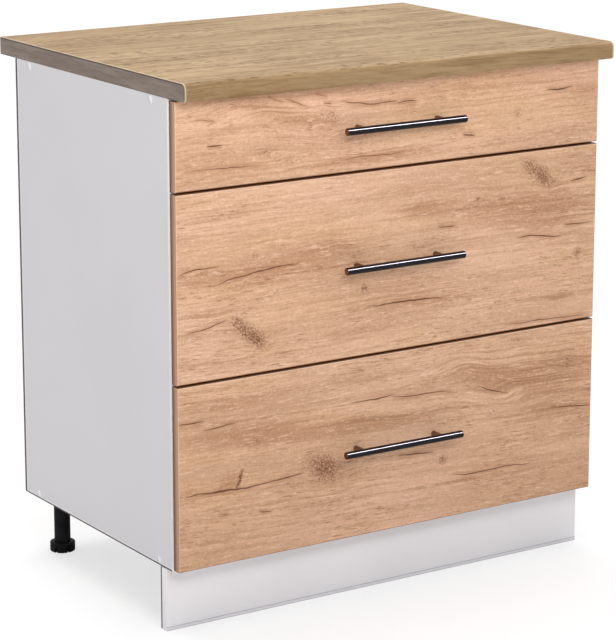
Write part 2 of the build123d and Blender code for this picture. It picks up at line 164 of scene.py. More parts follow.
def scaled(tint, share, lift=0.0):
    """A colour with its light values scaled, and lifted by a little."""
    return (*[value * share + lift for value in tint[:3]], 1.0)


def give(material, *names):
    """Gives one material to each of the named pieces."""
    for name in names:
        nodes[name].data.materials[0] = material


print("middle grey in light values:", round(color(128, 128, 128)[0], 3))


# %% Helpers for places, directions and relief
def object_place(tree):
    """The point that is shaded, in metres in the cabinet's frame."""
    return add_node(tree, "ShaderNodeTexCoord").outputs["Object"]


def split(tree, vector):
    """The x, y and z of a vector."""
    return add_node(tree, "ShaderNodeSeparateXYZ", {0: vector}).outputs


def facing(tree, axis):
    """How far the surface faces along axis 0, 1 or 2: 1 along it, -1 against it."""
    normal = add_node(tree, "ShaderNodeNewGeometry").outputs["Normal"]
    return split(tree, normal)[axis]


def dress(tree, shader, tone, height, distance, strength=0.5):
    """Gives the shader its colour, and a relief that stands proud by a distance in metres."""
    inputs = {"Height": height, "Distance": distance, "Strength": strength}
    bump = add_node(tree, "ShaderNodeBump", inputs).outputs[0]
    set_inputs(tree, shader, {"Base Color": tone, "Normal": bump})


# %% [markdown]
# ## Knots and cracks
#
# The decor on the fronts is a print of rustic oak: long fibres, soft brown knots with the grain bending
# round them, and thin dark cracks. Noise makes good fibres, but it never puts a knot where one is wanted.
# So a knot and a crack each get a node group, a reusable network with a few dials, and every front lists
# its own.
#
# A knot pushes the grain apart: inside it the grain coordinate is pulled towards the knot's middle level,
# and the lines that would have crossed it have to crowd round it. The same group, with its bend left
# unused, serves as a shade, a long darker patch of wood.

# %% Node groups with dials
def start_group(name, dials, results):
    """A new node group; returns it with its dials and the node that takes its results."""
    group = bpy.data.node_groups.new(name, "ShaderNodeTree")
    for dial in dials:
        group.interface.new_socket(dial, in_out="INPUT", socket_type="NodeSocketFloat")
    for result in results:
        group.interface.new_socket(result, in_out="OUTPUT", socket_type="NodeSocketFloat")
    return group, add_node(group, "NodeGroupInput").outputs, add_node(group, "NodeGroupOutput")


# %% The knot
KNOT_TILT = 0.7  # share of its slant that a knot gives to the grain


def knot_group():
    """Bends the grain round an oval, and says how near its heart the point is."""
    dials = ("X", "Z", "Grain", "Place X", "Place Z", "Reach X", "Reach Z", "Slant", "Push")
    group, dial, result = start_group("knot", dials, ("Grain", "Heart"))
    right = calc(group, "SUBTRACT", dial["X"], dial["Place X"])
    up = calc(group, "SUBTRACT", dial["Z"], dial["Place Z"])
    leaned = calc(group, "SUBTRACT", up, times(group, dial["Slant"], right))
    across = calc(group, "DIVIDE", right, dial["Reach X"])
    along = calc(group, "DIVIDE", leaned, dial["Reach Z"])
    squared = calc(group, "MULTIPLY_ADD", across, across, times(group, along, along))
    near = calc(group, "EXPONENT", times(group, squared, -1.0))
    pull = times(group, leaned, dial["Push"])
    tilt = times(group, times(group, right, dial["Slant"]), KNOT_TILT)
    bend = times(group, calc(group, "ADD", pull, tilt), near)
    group.links.new(calc(group, "SUBTRACT", dial["Grain"], bend), result.inputs["Grain"])
    group.links.new(near, result.inputs["Heart"])
    return group


# %% The crack
CRACK_HALO = 6 * MM


def crack_group():
    """A thin bent line that tapers to nothing at both ends, and the soft halo round it."""
    dials = ("X", "Z", "Wobble", "Place X", "Place Z", "Half", "Slope", "Bend", "Width")
    group, dial, result = start_group("crack", dials, ("Depth", "Halo"))
    right = calc(group, "SUBTRACT", dial["X"], dial["Place X"])
    share = calc(group, "DIVIDE", right, dial["Half"])
    squared = times(group, share, share)
    rise = calc(group, "MULTIPLY_ADD", right, dial["Slope"], times(group, squared, dial["Bend"]))
    line = calc(group, "ADD", calc(group, "ADD", rise, dial["Place Z"]), dial["Wobble"])
    away = calc(group, "ABSOLUTE", calc(group, "SUBTRACT", dial["Z"], line))
    taper = calc(group, "MAXIMUM", calc(group, "SUBTRACT", 1.0, squared), 0.01)
    share_out = calc(group, "DIVIDE", away, times(group, taper, dial["Width"]))
    inside = calc(group, "MAXIMUM", calc(group, "SUBTRACT", 1.0, share_out), 0.0)
    group.links.new(times(group, inside, ramp(group, squared, 1.0, 0.5)), result.inputs["Depth"])
    around = calc(group, "DIVIDE", away, CRACK_HALO)
    faded = calc(group, "EXPONENT", times(group, times(group, around, around), -1.0))
    group.links.new(times(group, faded, ramp(group, squared, 1.6, 0.3)), result.inputs["Halo"])
    return group


# %% Placing knots and cracks
KNOT = knot_group()
CRACK = crack_group()
KNOT_DIALS = {"Place X": MM, "Place Z": MM, "Reach X": MM, "Reach Z": MM, "Slant": 1.0}
CRACK_DIALS = {"Place X": MM, "Place Z": MM, "Half": MM, "Slope": 1.0, "Bend": MM, "Width": MM}
KNOT_PUSH = 0.7  # how far a knot pulls the grain to its middle level: 0 not at all, 1 all the way
print("node groups:", [group.name for group in (KNOT, CRACK)])


def use_group(tree, group, shared, dials, values):
    """Adds a node group with its dials set to values in their units; returns its outputs."""
    own = {name: value * unit for (name, unit), value in zip(dials.items(), values)}
    return add_node(tree, "ShaderNodeGroup", shared | own, node_tree=group).outputs


def lay_knots(tree, x, z, grain, knots):
    """Bends the grain round each knot in turn; returns it with the darkness of all the hearts."""
    hearts = 0.0
    for *values, darkness in knots:
        shared = {"X": x, "Z": z, "Grain": grain, "Push": KNOT_PUSH}
        knot = use_group(tree, KNOT, shared, KNOT_DIALS, values)
        grain = knot["Grain"]
        hearts = calc(tree, "MULTIPLY_ADD", knot["Heart"], darkness, hearts)
    return grain, hearts


def lay_cracks(tree, x, z, wobble, cracks):
    """The depth and the halo of all the cracks together."""
    depth = 0.0
    halo = 0.0
    for values in cracks:
        crack = use_group(tree, CRACK, {"X": x, "Z": z, "Wobble": wobble}, CRACK_DIALS, values)
        depth = calc(tree, "MAXIMUM", depth, crack["Depth"])
        halo = calc(tree, "MAXIMUM", halo, crack["Halo"])
    return depth, halo


# %% [markdown]
# ## Oak for the drawer fronts
#
# The grain is one coordinate across the fibres. Slow noise bends it, which makes the cathedral figures of
# sawn oak, and the knots bend it further. Streaks, growth lines and fine fibres are then all drawn on that
# one bent coordinate, so that they flow together. A seed for each front keeps the three from matching.

# %% Colours of the oak
OAK_PEACH = color(232, 188, 157)
OAK_GOLD = color(226, 182, 145)
OAK_PALE = color(250, 212, 184)
OAK_GREY = color(208, 164, 132)
OAK_TAN = color(186, 137, 102)
OAK_BROWN = color(152, 101, 67)
OAK_HEART = color(106, 62, 34)
OAK_CRACK = color(92, 54, 32)
OAK_SIDE = color(196, 152, 122)
OAK_SIDE_REAR = color(124, 90, 68)
# upper and lower edges of the fronts: partly their own brown, partly painted shade for the gaps
OAK_RIM_AND_GAP_SHADE = color(150, 104, 72)
# painted highlight for the arrises of the fronts that face up or left
OAK_PAINTED_HIGHLIGHT = color(255, 226, 204)
OAK_BACK = color(236, 234, 234)
print("plain oak in light values:", [round(value, 2) for value in OAK_PEACH[:3]])


# %% [markdown]
# The recipe goes from coarse to fine, as one would paint it: soft patches of peach, gold and grey first,
# then growth lines a few millimetres apart, which show strongly only in some areas, then short fibres,
# pale flecks and dark pores.

# %% Wood between the knots
def oak_wood(tree, place, flow, seed, shaded):
    """Colour of the plain wood, drawn on the bent grain, and its fibres for the relief."""
    gold = noise(tree, flow, (3.0, 1.0, 9.0), detail=3.0, offset=(0, seed, 0))
    grey = noise(tree, flow, (2.4, 1.0, 13.0), detail=4.0, roughness=0.6, offset=(seed, 0, 0))
    stripes = noise(tree, flow, (3.2, 1.0, 46.0), detail=3.0, offset=(seed, 4, 0))
    busy = ramp(tree, noise(tree, place, (6.0, 1.0, 14.0), detail=2.0, offset=(7, seed, 0)), 0.42, 0.60)
    combing = calc(tree, "MULTIPLY_ADD", shaded, 0.60, 0.26)
    lines = noise(tree, flow, (5.0, 1.0, 170.0), detail=4.0, roughness=0.62)
    threads = noise(tree, flow, (2.4, 1.0, 250.0), detail=2.0, offset=(seed, 2, 0))
    dashes = noise(tree, flow, (22.0, 1.0, 330.0), detail=3.0, roughness=0.65, offset=(3, 0, seed))
    flecks = noise(tree, flow, (34.0, 1.0, 260.0), detail=3.0, roughness=0.7, offset=(seed, 5, 0))
    pores = noise(tree, flow, (52.0, 1.0, 420.0), detail=2.0, roughness=0.6)
    mottle = noise(tree, place, (240.0, 240.0, 330.0), detail=3.0, roughness=0.75)
    tone = paint(
        tree, OAK_PEACH,
        (gold, 0.40, 0.64, 1.0, OAK_GOLD),
        (grey, 0.46, 0.66, 0.85, OAK_GREY),
        (stripes, 0.46, 0.66, 0.55, OAK_GREY),
        (times(tree, shaded, stripes), 0.06, 0.46, 0.65, OAK_TAN),
        (lines, 0.48, 0.64, combing, OAK_TAN),
        (threads, 0.54, 0.66, times(tree, combing, 0.7), OAK_BROWN),
        (dashes, 0.48, 0.68, calc(tree, "MULTIPLY_ADD", busy, 0.35, 0.25), OAK_TAN),
        (flecks, 0.46, 0.30, 0.55, OAK_PALE),
        (pores, 0.58, 0.70, calc(tree, "MULTIPLY_ADD", busy, 0.50, 0.20), OAK_BROWN),
        (mottle, 0.50, 0.28, 0.40, OAK_PALE),
        (mottle, 0.52, 0.72, 0.35, OAK_TAN),
    )
    return tone, dashes


# %% [markdown]
# The heart of a knot is not a filled oval but a cloud of fine dark specks, dense in the middle and with
# pale ones between them. So the oval only decides how many of the specks of a turned noise show.

# %% Hearts of the knots
SPECK_TURN = 0.6  # radians


def paint_hearts(tree, place, tone, hearts):
    """Slanting dark specks over a soft brown shade, with pale specks between them."""
    turning = {"Vector": place, "Rotation": (0.0, -SPECK_TURN, 0.0)}
    turned = add_node(tree, "ShaderNodeMapping", turning).outputs[0]
    specks = noise(tree, turned, (260.0, 1.0, 430.0), detail=3.0, roughness=0.75)
    near = ramp(tree, hearts, 0.04, 0.35)
    density = calc(tree, "MULTIPLY_ADD", hearts, 0.20, specks)
    return paint(
        tree, tone,
        (hearts, 0.0, 1.1, 0.55, OAK_BROWN),
        (specks, 0.44, 0.32, times(tree, near, 0.5), OAK_PALE),
        (density, 0.58, 0.80, times(tree, near, 0.85), OAK_HEART),
    )


# %% [markdown]
# A front is a board wrapped in the decor film. Its rounded edges get a painted highlight where they face up
# or left and painted shade where they face down. Its upper and lower edges are dark brown, partly their own
# colour and partly painted shade for the gaps between the fronts, and its sides are browner towards the
# back.
# The back is plain white. All of this depends on which way the surface faces, so one recipe can cover the
# whole front and no part of it needs a material of its own.

# %% Edges and back of a front
EDGE_FRONT = front_boxes["top"][0].y + 4 * MM
EDGE_REAR = front_boxes["top"][1].y - 2 * MM


def paint_edges(tree, tone, depth):
    """Brown sides, dark rims partly painting gap shade, painted highlight and shade on arrises, white back.
    """
    normal = split(tree, add_node(tree, "ShaderNodeNewGeometry").outputs["Normal"])
    # where the rounded edges face up or left, which get a painted highlight
    arris_highlight = calc(tree, "MAXIMUM", normal[2], times(tree, normal[0], -0.7))
    side = paint(tree, OAK_SIDE, (depth, EDGE_FRONT, EDGE_REAR, 1.0, OAK_SIDE_REAR))
    return paint(
        tree, tone,
        (arris_highlight, 0.05, 0.45, 0.5, OAK_PAINTED_HIGHLIGHT),
        # painted shade on the arrises that face down
        (normal[2], -0.05, -0.45, 0.8, OAK_BROWN),
        (calc(tree, "ABSOLUTE", normal[0]), 0.55, 0.85, 1.0, side),
        # upper and lower edges: partly their own darker brown, partly painted shade in the gaps between
        # fronts
        (calc(tree, "ABSOLUTE", normal[2]), 0.60, 0.90, 1.0, OAK_RIM_AND_GAP_SHADE),
        (normal[1], 0.85, 0.95, 1.0, OAK_BACK),
    )


# %% Recipe for a drawer front
DRIFT_REACH = 35 * MM  # how far slow noise moves the grain up and down
RIPPLE_REACH = 9 * MM  # how far quick noise moves it
WOBBLE_REACH = 15 * MM  # how far quick noise moves a crack


def dress_front(name, seed, fall, shades, knots, cracks):
    """Gives a front its oak decor, whose grain falls to the right with the slope called fall.

    A shade or a knot is (x, z, reach x, reach z, slant, darkness), and a crack (x, z, half its length,
    slope, bend, width). Lengths are in millimetres.
    """
    material, tree, shader = new_material(f"oak_{name}", OAK_PEACH, 0.5, specular=0.2)
    place = object_place(tree)
    x, y, z = split(tree, place)
    drift = noise(tree, place, (1.6, 1.0, 5.0), detail=1.0, offset=(seed, 0, seed))
    ripple = noise(tree, place, (13.0, 1.0, 34.0), detail=3.0, offset=(seed, seed, 0))
    drifted = calc(tree, "SUBTRACT", drift, 0.5)
    rippled = calc(tree, "SUBTRACT", ripple, 0.5)
    grain = calc(tree, "MULTIPLY_ADD", x, fall, z)
    grain = calc(tree, "MULTIPLY_ADD", drifted, DRIFT_REACH, grain)
    grain = calc(tree, "MULTIPLY_ADD", rippled, RIPPLE_REACH, grain)
    grain, hearts = lay_knots(tree, x, z, grain, knots)
    _, shaded = lay_knots(tree, x, z, grain, shades)
    flow = add_node(tree, "ShaderNodeCombineXYZ", {0: x, 1: seed, 2: grain}).outputs[0]
    tone, fibres = oak_wood(tree, place, flow, seed, shaded)
    torn, halo = lay_cracks(tree, x, z, times(tree, rippled, WOBBLE_REACH), cracks)
    tone = paint(
        tree, paint_hearts(tree, place, tone, hearts),
        (times(tree, halo, fibres), 0.10, 0.60, 0.55, OAK_TAN),
        (torn, 0.05, 0.85, 0.9, OAK_CRACK),
    )
    relief = calc(tree, "MULTIPLY_ADD", torn, 2.0, fibres)
    dress(tree, shader, paint_edges(tree, tone, y), times(tree, relief, -1.0), 0.1 * MM)
    give(material, f"{name}_drawer_front")
    print(name, "front:", len(shades), "shades,", len(knots), "knots,", len(cracks), "cracks")


# %% [markdown]
# Shades, knots and cracks are listed by their place on the cabinet, in millimetres: x from the middle, z
# above the floor. Each front has its own, because a real decor doesn't repeat from front to front.
# The top front is mostly quiet, with a few short cracks at its upper left.

# %% The top drawer's front
dress_front(
    "top",
    seed=3.1,
    fall=0.0,
    shades=[
        (-210, 794, 110, 18, -0.26, 0.8),
        (-20, 713, 130, 10, 0.03, 0.9),
        (371, 772, 45, 24, 0.0, 0.6),
        (230, 800, 150, 12, 0.0, 0.6),
        (-310, 782, 60, 6, 0.0, 0.6),
    ],
    knots=[
        (-236, 738, 26, 10, -0.15, 0.50),
        (-197, 721, 18, 6, 0.0, 0.40),
        (-125, 784, 22, 12, -0.4, 0.45),
        (-215, 785, 120, 24, -0.3, 0.14),
        (235, 753, 10, 13, 0.0, 0.40),
        (140, 731, 12, 6, 0.0, 0.35),
    ],
    cracks=[
        (-50, 798, 58, -0.09, 1, 1.4),
        (318, 788, 30, 0.02, 1, 1.7),
        (-330, 758, 16, -0.1, 0, 1.7),
        (18, 791, 22, -0.05, 0, 1.2),
        (-315, 722, 75, -0.03, 0, 0.8),
        (-50, 714, 70, -0.03, 0, 1),
        (138, 729, 14, -0.1, 0, 1.4),
        (-239, 833, 20, -0.27, 0, 0.7),
        (-223, 818, 16, -0.43, 0, 0.8),
        (-185, 809, 24, -0.38, 0, 1),
        (-141, 818, 14, -0.32, 0, 0.6),
        (-130, 802, 8, -0.23, 0, 1.3),
        (-346, 796, 20, -0.10, 0, 0.8),
    ],
)

# %% [markdown]
# The middle front has the most figure: two pairs of slanting knots, and cracks that run nearly level.

# %% The middle drawer's front
dress_front(
    "middle",
    seed=7.7,
    fall=0.01,
    shades=[
        (-290, 553, 140, 20, 0.02, 0.9),
        (-115, 576, 60, 16, 0.0, 0.7),
        (-320, 650, 80, 12, 0.0, 0.6),
        (270, 588, 170, 30, -0.06, 1.0),
        (45, 620, 50, 14, 0.0, 0.6),
        (330, 438, 70, 14, 0.0, 0.7),
        (10, 478, 110, 10, -0.05, 0.7),
        (-340, 503, 80, 7, 0.0, 0.6),
    ],
    knots=[
        (-286, 475, 21, 17, -0.6, 0.85),
        (-256, 452, 18, 16, -0.5, 0.85),
        (257, 667, 18, 14, -0.3, 0.55),
        (288, 646, 23, 17, -0.5, 0.85),
        (-61, 505, 9, 8, 0.0, 0.75),
        (361, 512, 12, 10, 0.0, 0.60),
        (-345, 560, 35, 14, 0.1, 0.12),
        (55, 560, 18, 8, 0.0, 0.20),
        (-261, 583, 10, 5, 0.0, 0.45),
        (157, 623, 6, 4, 0.0, 0.80),
        (207, 619, 5, 3, 0.0, 0.80),
    ],
    cracks=[
        (-360, 574, 40, 0.08, -4, 1.8),
        (-255, 557, 85, 0.10, -6, 1.8),
        (20, 474, 85, -0.06, 0, 2),
        (-345, 483, 40, 0.14, 0, 1.2),
        (284, 549, 52, -0.02, 0, 2),
        (360, 562, 32, -0.05, 0, 1.6),
        (360, 634, 18, 0.12, 0, 1.6),
        (300, 408, 90, -0.03, 0, 1.4),
        (95, 586, 18, -0.10, 0, 1.4),
    ],
)

# %% [markdown]
# On the bottom front one long crack runs up to the largest knot, and the grain falls a little to the
# right. Along such a slope the growth lines cut the edges of the front at a low angle.

# %% The bottom drawer's front
dress_front(
    "bottom",
    seed=12.3,
    fall=0.036,
    shades=[
        (-220, 300, 160, 22, -0.06, 1.0),
        (-305, 232, 34, 16, 0.3, 0.7),
        (200, 325, 100, 30, -0.3, 0.9),
        (340, 322, 80, 40, 0.0, 0.9),
        (20, 286, 160, 14, -0.03, 0.7),
        (320, 252, 120, 14, -0.04, 0.7),
        (-120, 178, 90, 14, 0.0, 0.5),
        (-300, 362, 110, 12, 0.0, 0.7),
        (200, 160, 150, 12, -0.03, 0.6),
    ],
    knots=[
        (-133, 228, 36, 24, -0.25, 1.00),
        (-290, 234, 7, 9, 2.0, 1.40),
        (172, 322, 60, 26, -0.5, 0.15),
        (347, 328, 18, 12, 0.0, 0.50),
        (238, 381, 14, 6, 0.0, 0.50),
        (95, 203, 10, 9, 0.0, 0.80),
        (196, 266, 12, 8, 0.0, 0.45),
        (-257, 290, 10, 5, 0.0, 0.45),
    ],
    cracks=[
        (-300, 220.5, 100, 0.015, 2, 2.2),
        (-205, 224.5, 36, 0.06, 0, 1.8),
        (-375, 340, 26, 0.02, 0, 2),
        (-324, 324, 32, 0.04, 0, 1.8),
        (-40, 324, 50, 0.02, 0, 1.7),
        (48, 318, 66, -0.07, 0, 1.6),
        (195, 303, 32, -0.30, 0, 1.8),
        (196, 170, 90, -0.03, 0, 1.8),
        (359, 249, 45, -0.10, 0, 1.7),
        (40, 220, 42, -0.08, 0, 1.6),
        (-243, 175, 12, -0.2, 0, 1.5),
    ],
)

# %% [markdown]
# ## The worktop
#
# A postformed worktop is chipboard with a laminate that runs over the top, round the nose and a little way
# back underneath. The print has to do the same. An unwrapped picture would do it too, but needs its seams
# laid by hand. Here the coordinate across the grain is simply y plus z: on the top only y changes and on
# the front edge only z, so the grain turns the corner without a seam.

# %% Worktop laminate
TOP_PALE = color(190, 163, 128)
TOP_LIGHT = color(214, 188, 154)
TOP_OLIVE = color(163, 136, 102)
TOP_BROWN = color(128, 100, 70)
TOP_PORE = color(88, 64, 40)
# painted shade: the front edge, facing forwards, is darker than the top
TOP_NOSE_PAINTED_SHADE = color(132, 102, 64)
TOP_RIM = color(232, 214, 188)
RIM_INSIDE = worktop_high.x - 3.5 * MM
RIM_OUTSIDE = worktop_high.x - 1.5 * MM
TOP_DRIFT_REACH = 60 * MM  # how far slow noise moves the grain forwards and back


def worktop_oak(name):
    """Straight-grained oak decor that wraps from the top round the front edge."""
    material, tree, shader = new_material(name, TOP_OLIVE, 0.55, specular=0.06)
    place = object_place(tree)
    x, y, z = split(tree, place)
    around = calc(tree, "ADD", y, z)
    drift = noise(tree, place, (1.3, 5.0, 5.0), detail=1.0, offset=(4.0, 0.0, 2.0))
    grain = calc(tree, "MULTIPLY_ADD", calc(tree, "SUBTRACT", drift, 0.5), TOP_DRIFT_REACH, around)
    flow = add_node(tree, "ShaderNodeCombineXYZ", {0: x, 1: 0.0, 2: grain}).outputs[0]
    bands = noise(tree, flow, (1.2, 1.0, 14.0), detail=3.0)
    streaks = noise(tree, flow, (4.0, 1.0, 60.0), detail=4.0, roughness=0.7)
    fibres = noise(tree, flow, (14.0, 1.0, 210.0), detail=4.0, roughness=0.7)
    pores = noise(tree, flow, (52.0, 1.0, 250.0), detail=1.0, roughness=0.4, offset=(0, 3, 0))
    rows = ramp(tree, noise(tree, flow, (1.6, 1.0, 22.0), detail=2.0, offset=(0, 6, 0)), 0.44, 0.56)
    upper = ramp(tree, facing(tree, 2), 0.5, 0.95)
    rows = times(tree, rows, calc(tree, "MULTIPLY_ADD", upper, 0.75, 0.25))
    dashes = times(tree, ramp(tree, pores, 0.55, 0.63), rows)
    tone = paint(
        tree, TOP_PALE,
        (bands, 0.38, 0.64, 0.6, TOP_OLIVE),
        (streaks, 0.46, 0.66, 0.62, TOP_BROWN),
        (fibres, 0.46, 0.66, 0.55, TOP_BROWN),
        (fibres, 0.46, 0.32, 0.40, TOP_LIGHT),
        (pores, 0.55, 0.63, times(tree, rows, 0.65), TOP_PORE),
        # painted shade on the front edge, which faces forwards
        (facing(tree, 1), -0.2, -0.9, 0.50, TOP_NOSE_PAINTED_SHADE),
        (calc(tree, "ABSOLUTE", x), RIM_INSIDE, RIM_OUTSIDE, 0.5, TOP_RIM),
    )
    dress(tree, shader, tone, times(tree, calc(tree, "ADD", fibres, dashes), -1.0), 0.08 * MM)
    return material


give(worktop_oak("worktop_laminate"), "worktop_laminate")
print("worktop laminate: pale rims from x", round(RIM_INSIDE, 4), "to", round(RIM_OUTSIDE, 4))


# %% [markdown]
# Each end is closed by an iron-on strip in a similar decor, greyer and with its own short grain. It is
# trimmed flush with a file, which leaves a thin dark line of glue along its rims. The line follows the
# rounded nose, so it is drawn by the distance from the centre of that rounding.

# %% Worktop end strips
NOSE = 9 * MM  # radius of the rounding
END_RIM = color(70, 56, 48)


def end_strip(name):
    """Grey-brown strip with a fine grain along its length, dark along its trimmed rims."""
    material, tree, shader = new_material(name, color(140, 125, 113), 0.5, specular=0.3)
    place = object_place(tree)
    _, y, z = split(tree, place)
    fibres = noise(tree, place, (1.0, 30.0, 420.0), detail=3.0, roughness=0.6)
    clouds = noise(tree, place, (1.0, 6.0, 60.0), detail=2.0)
    ahead = calc(tree, "MAXIMUM", calc(tree, "SUBTRACT", worktop_low.y + NOSE, y), 0.0)
    above = calc(tree, "MAXIMUM", calc(tree, "SUBTRACT", z, worktop_high.z - NOSE), 0.0)
    squared = calc(tree, "MULTIPLY_ADD", ahead, ahead, times(tree, above, above))
    tone = paint(
        tree, color(148, 134, 122),
        (clouds, 0.35, 0.65, 1.0, color(130, 115, 104)),
        (fibres, 0.45, 0.70, 0.5, color(104, 88, 76)),
        (calc(tree, "SQRT", squared), NOSE - 3.4 * MM, NOSE - 2.0 * MM, 0.95, END_RIM),
        (z, worktop_low.z + 1.6 * MM, worktop_low.z + 0.6 * MM, 0.6, END_RIM),
        (y, worktop_high.y - 2.4 * MM, worktop_high.y - 1.0 * MM, 0.6, END_RIM),
    )
    dress(tree, shader, tone, fibres, 0.05 * MM)
    return material


give(end_strip("worktop_edge"), "worktop_end_strips")
print("end strips: rounded about y", round(worktop_low.y + NOSE, 4), "z", round(worktop_high.z - NOSE, 4))


# %% [markdown]
# ## Chipboard
#
# White boards show their make only where no band covers the edge. So a board's recipe asks which way the
# surface faces: the two broad faces are white melamine, and the rest is raw chipboard, with flat flakes in
# the browns of the glue and the wood. Cells of a Voronoi pattern are the flakes, as each cell has one
# colour and a sharp outline, which cloudy noise never gives.

# %% Raw chipboard
FLAKES_PER_METRE = 480.0


def chipboard(tree, place, stretch=(1.0, 1.0, 1.0)):
    """Colour of raw chipboard; returns it with a height for the relief."""
    mapped = add_node(tree, "ShaderNodeMapping", {"Vector": place, "Scale": stretch}).outputs[0]
    cells = {"Vector": mapped, "Scale": FLAKES_PER_METRE, "Randomness": 1.0}
    flakes = add_node(tree, "ShaderNodeTexVoronoi", cells)
    shade = split(tree, flakes.outputs["Color"])[0]
    dust = noise(tree, place, 900.0, detail=2.0)
    tone = paint(
        tree, color(222, 196, 158),
        (shade, 0.0, 0.8, 1.0, color(176, 142, 102)),
        (shade, 0.82, 0.9, 1.0, color(128, 96, 64)),
        (dust, 0.4, 0.7, 0.4, color(206, 184, 150)),
    )
    return tone, calc(tree, "ADD", shade, dust)


# %% White boards
WHITE_BOARD = color(228, 225, 228)


def white_board(name, face_axis, rims=None):
    """White melamine on the faces across face_axis, raw chipboard on the edges; rims may mark the film."""
    material, tree, shader = new_material(name, WHITE_BOARD, 0.4, specular=0.3)
    place = object_place(tree)
    pearl = noise(tree, place, 700.0, detail=1.0)
    clouds = noise(tree, place, 3.0, detail=2.0)
    white = paint(tree, WHITE_BOARD, (clouds, 0.35, 0.65, 1.0, color(225, 222, 225)))
    if rims:
        white = rims(tree, white, place)
    raw, bumps = chipboard(tree, place)
    edge = ramp(tree, calc(tree, "ABSOLUTE", facing(tree, face_axis)), 0.8, 0.6)
    tree.links.new(calc(tree, "MULTIPLY_ADD", edge, 0.45, 0.38), shader.inputs["Roughness"])
    relief = calc(tree, "MULTIPLY_ADD", times(tree, bumps, edge), 3.0, pearl)
    dress(tree, shader, blend_colors(tree, edge, white, raw), relief, 0.04 * MM)
    return material


ACROSS_X, ACROSS_Y, ACROSS_Z = [white_board(f"white_board_{'xyz'[axis]}", axis) for axis in range(3)]
give(ACROSS_Z, "bottom_panel", "top_rail_front", "top_rail_rear")
for name in DRAWERS:
    give(ACROSS_X, f"{name}_drawer_side_left", f"{name}_drawer_side_right")
    give(ACROSS_Y, f"{name}_drawer_back", f"{name}_drawer_inner_front")
print("white boards:", [board.name for board in (ACROSS_X, ACROSS_Y, ACROSS_Z)])


# %% [markdown]
# The side panels are seen from close by, and their lower and rear edges are sawn, not banded. There the
# melamine ends in a thin dark line of glue and core, and just inside it a pale one where the film is worn
# smooth.

# %% Rims of the side panels
SIDE_LOW, SIDE_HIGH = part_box("side_panel_left")
SAWN_DARK = color(58, 54, 58)
SAWN_PALE = color(250, 249, 251)
REAR_RIM_WIDER = 2.0  # the lines along the rear edge are this much wider than those below


def sawn_rims(tree, tone, place):
    """A dark line along the lower and rear edges of a side panel, with a pale one inside it."""
    _, y, z = split(tree, place)
    above = calc(tree, "SUBTRACT", z, SIDE_LOW.z)
    ahead = calc(tree, "SUBTRACT", SIDE_HIGH.y, y)
    inward = calc(tree, "MINIMUM", above, calc(tree, "DIVIDE", ahead, REAR_RIM_WIDER))
    return paint(
        tree, tone,
        (inward, 4.6 * MM, 3.2 * MM, 0.8, SAWN_PALE),
        (inward, 2.8 * MM, 2.0 * MM, 1.0, SAWN_DARK),
    )


give(white_board("white_board_side", 0, rims=sawn_rims), "side_panel_left", "side_panel_right")
print("side panels: rims from z", round(SIDE_LOW.z, 3), "up and from y", round(SIDE_HIGH.y, 3), "forwards")


# %% [markdown]
# The plinth is the same white board with all its edges covered, and the carcass has white bands on its
# front edges. Nothing raw shows there, so they get a plainer recipe: a white with slow clouds and a fine
# pearl. Pure flat white would look like paper, because no real film is that even.

# %% Plinth and edge bands
PLINTH_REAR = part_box("plinth_board")[1].y


def end_rims(tree, tone, place):
    """A dark line down the rear edge of each end of the plinth, where the film ends."""
    ahead = calc(tree, "SUBTRACT", PLINTH_REAR, split(tree, place)[1])
    ends = ramp(tree, calc(tree, "ABSOLUTE", facing(tree, 0)), 0.6, 0.8)
    return paint(tree, tone, (ahead, 4.0 * MM, 3.0 * MM, ends, SAWN_DARK))


def covered_white(name, tint, roughness, rims=None):
    """Plain white plastic or melamine with a faint texture; rims may mark its ends."""
    material, tree, shader = new_material(name, tint, roughness)
    place = object_place(tree)
    pearl = noise(tree, place, 500.0, detail=1.0)
    clouds = noise(tree, place, 4.0, detail=2.0)
    white = paint(tree, tint, (clouds, 0.35, 0.65, 1.0, scaled(tint, 0.96)))
    if rims:
        white = rims(tree, white, place)
    dress(tree, shader, white, pearl, 0.04 * MM)
    return material


give(covered_white("plinth_white", color(254, 252, 255), 0.35, rims=end_rims), "plinth_board")
give(covered_white("edge_band_white", color(253, 253, 253), 0.3), "carcass_edge_bands")
print("plinth: dark ends from y", round(PLINTH_REAR, 3), "forwards")


# %% [markdown]
# The sheets in the back and in the drawers are thin hardboard: painted white on the side that shows, and
# raw brown with a felt of fibres on the other. As with the chipboard, one recipe looks at the way the
# surface faces, so that a sheet need not be split into two pieces.

# %% Hardboard sheets
def hardboard(name, white_axis, white_sign):
    """White paint where the sheet faces white_sign along white_axis, raw hardboard elsewhere."""
    material, tree, shader = new_material(name, WHITE_BOARD, 0.5, specular=0.4)
    place = object_place(tree)
    felt = noise(tree, place, 260.0, detail=4.0, roughness=0.7)
    screen_marks = noise(tree, place, 900.0, detail=0.0)
    raw = paint(tree, color(146, 108, 74), (felt, 0.35, 0.65, 1.0, color(110, 78, 52)))
    painted = ramp(tree, times(tree, facing(tree, white_axis), white_sign), 0.6, 0.8)
    tree.links.new(calc(tree, "MULTIPLY_ADD", painted, -0.35, 0.8), shader.inputs["Roughness"])
    relief = calc(tree, "ADD", felt, screen_marks)
    dress(tree, shader, blend_colors(tree, painted, raw, WHITE_BOARD), relief, 0.08 * MM)
    return material


give(hardboard("back_sheet", white_axis=1, white_sign=-1.0), "back_panel")
DRAWER_SHEET = hardboard("drawer_sheet", white_axis=2, white_sign=1.0)
give(DRAWER_SHEET, *[f"{name}_drawer_bottom" for name in DRAWERS])
print("hardboard sheets:", 1 + len(DRAWERS))


# %% [markdown]
# The core of the worktop is coarser chipboard. Underneath it carries a brown backing paper, which keeps
# damp out and stops the laminate above from bending the board. Its flakes are stretched along the board.

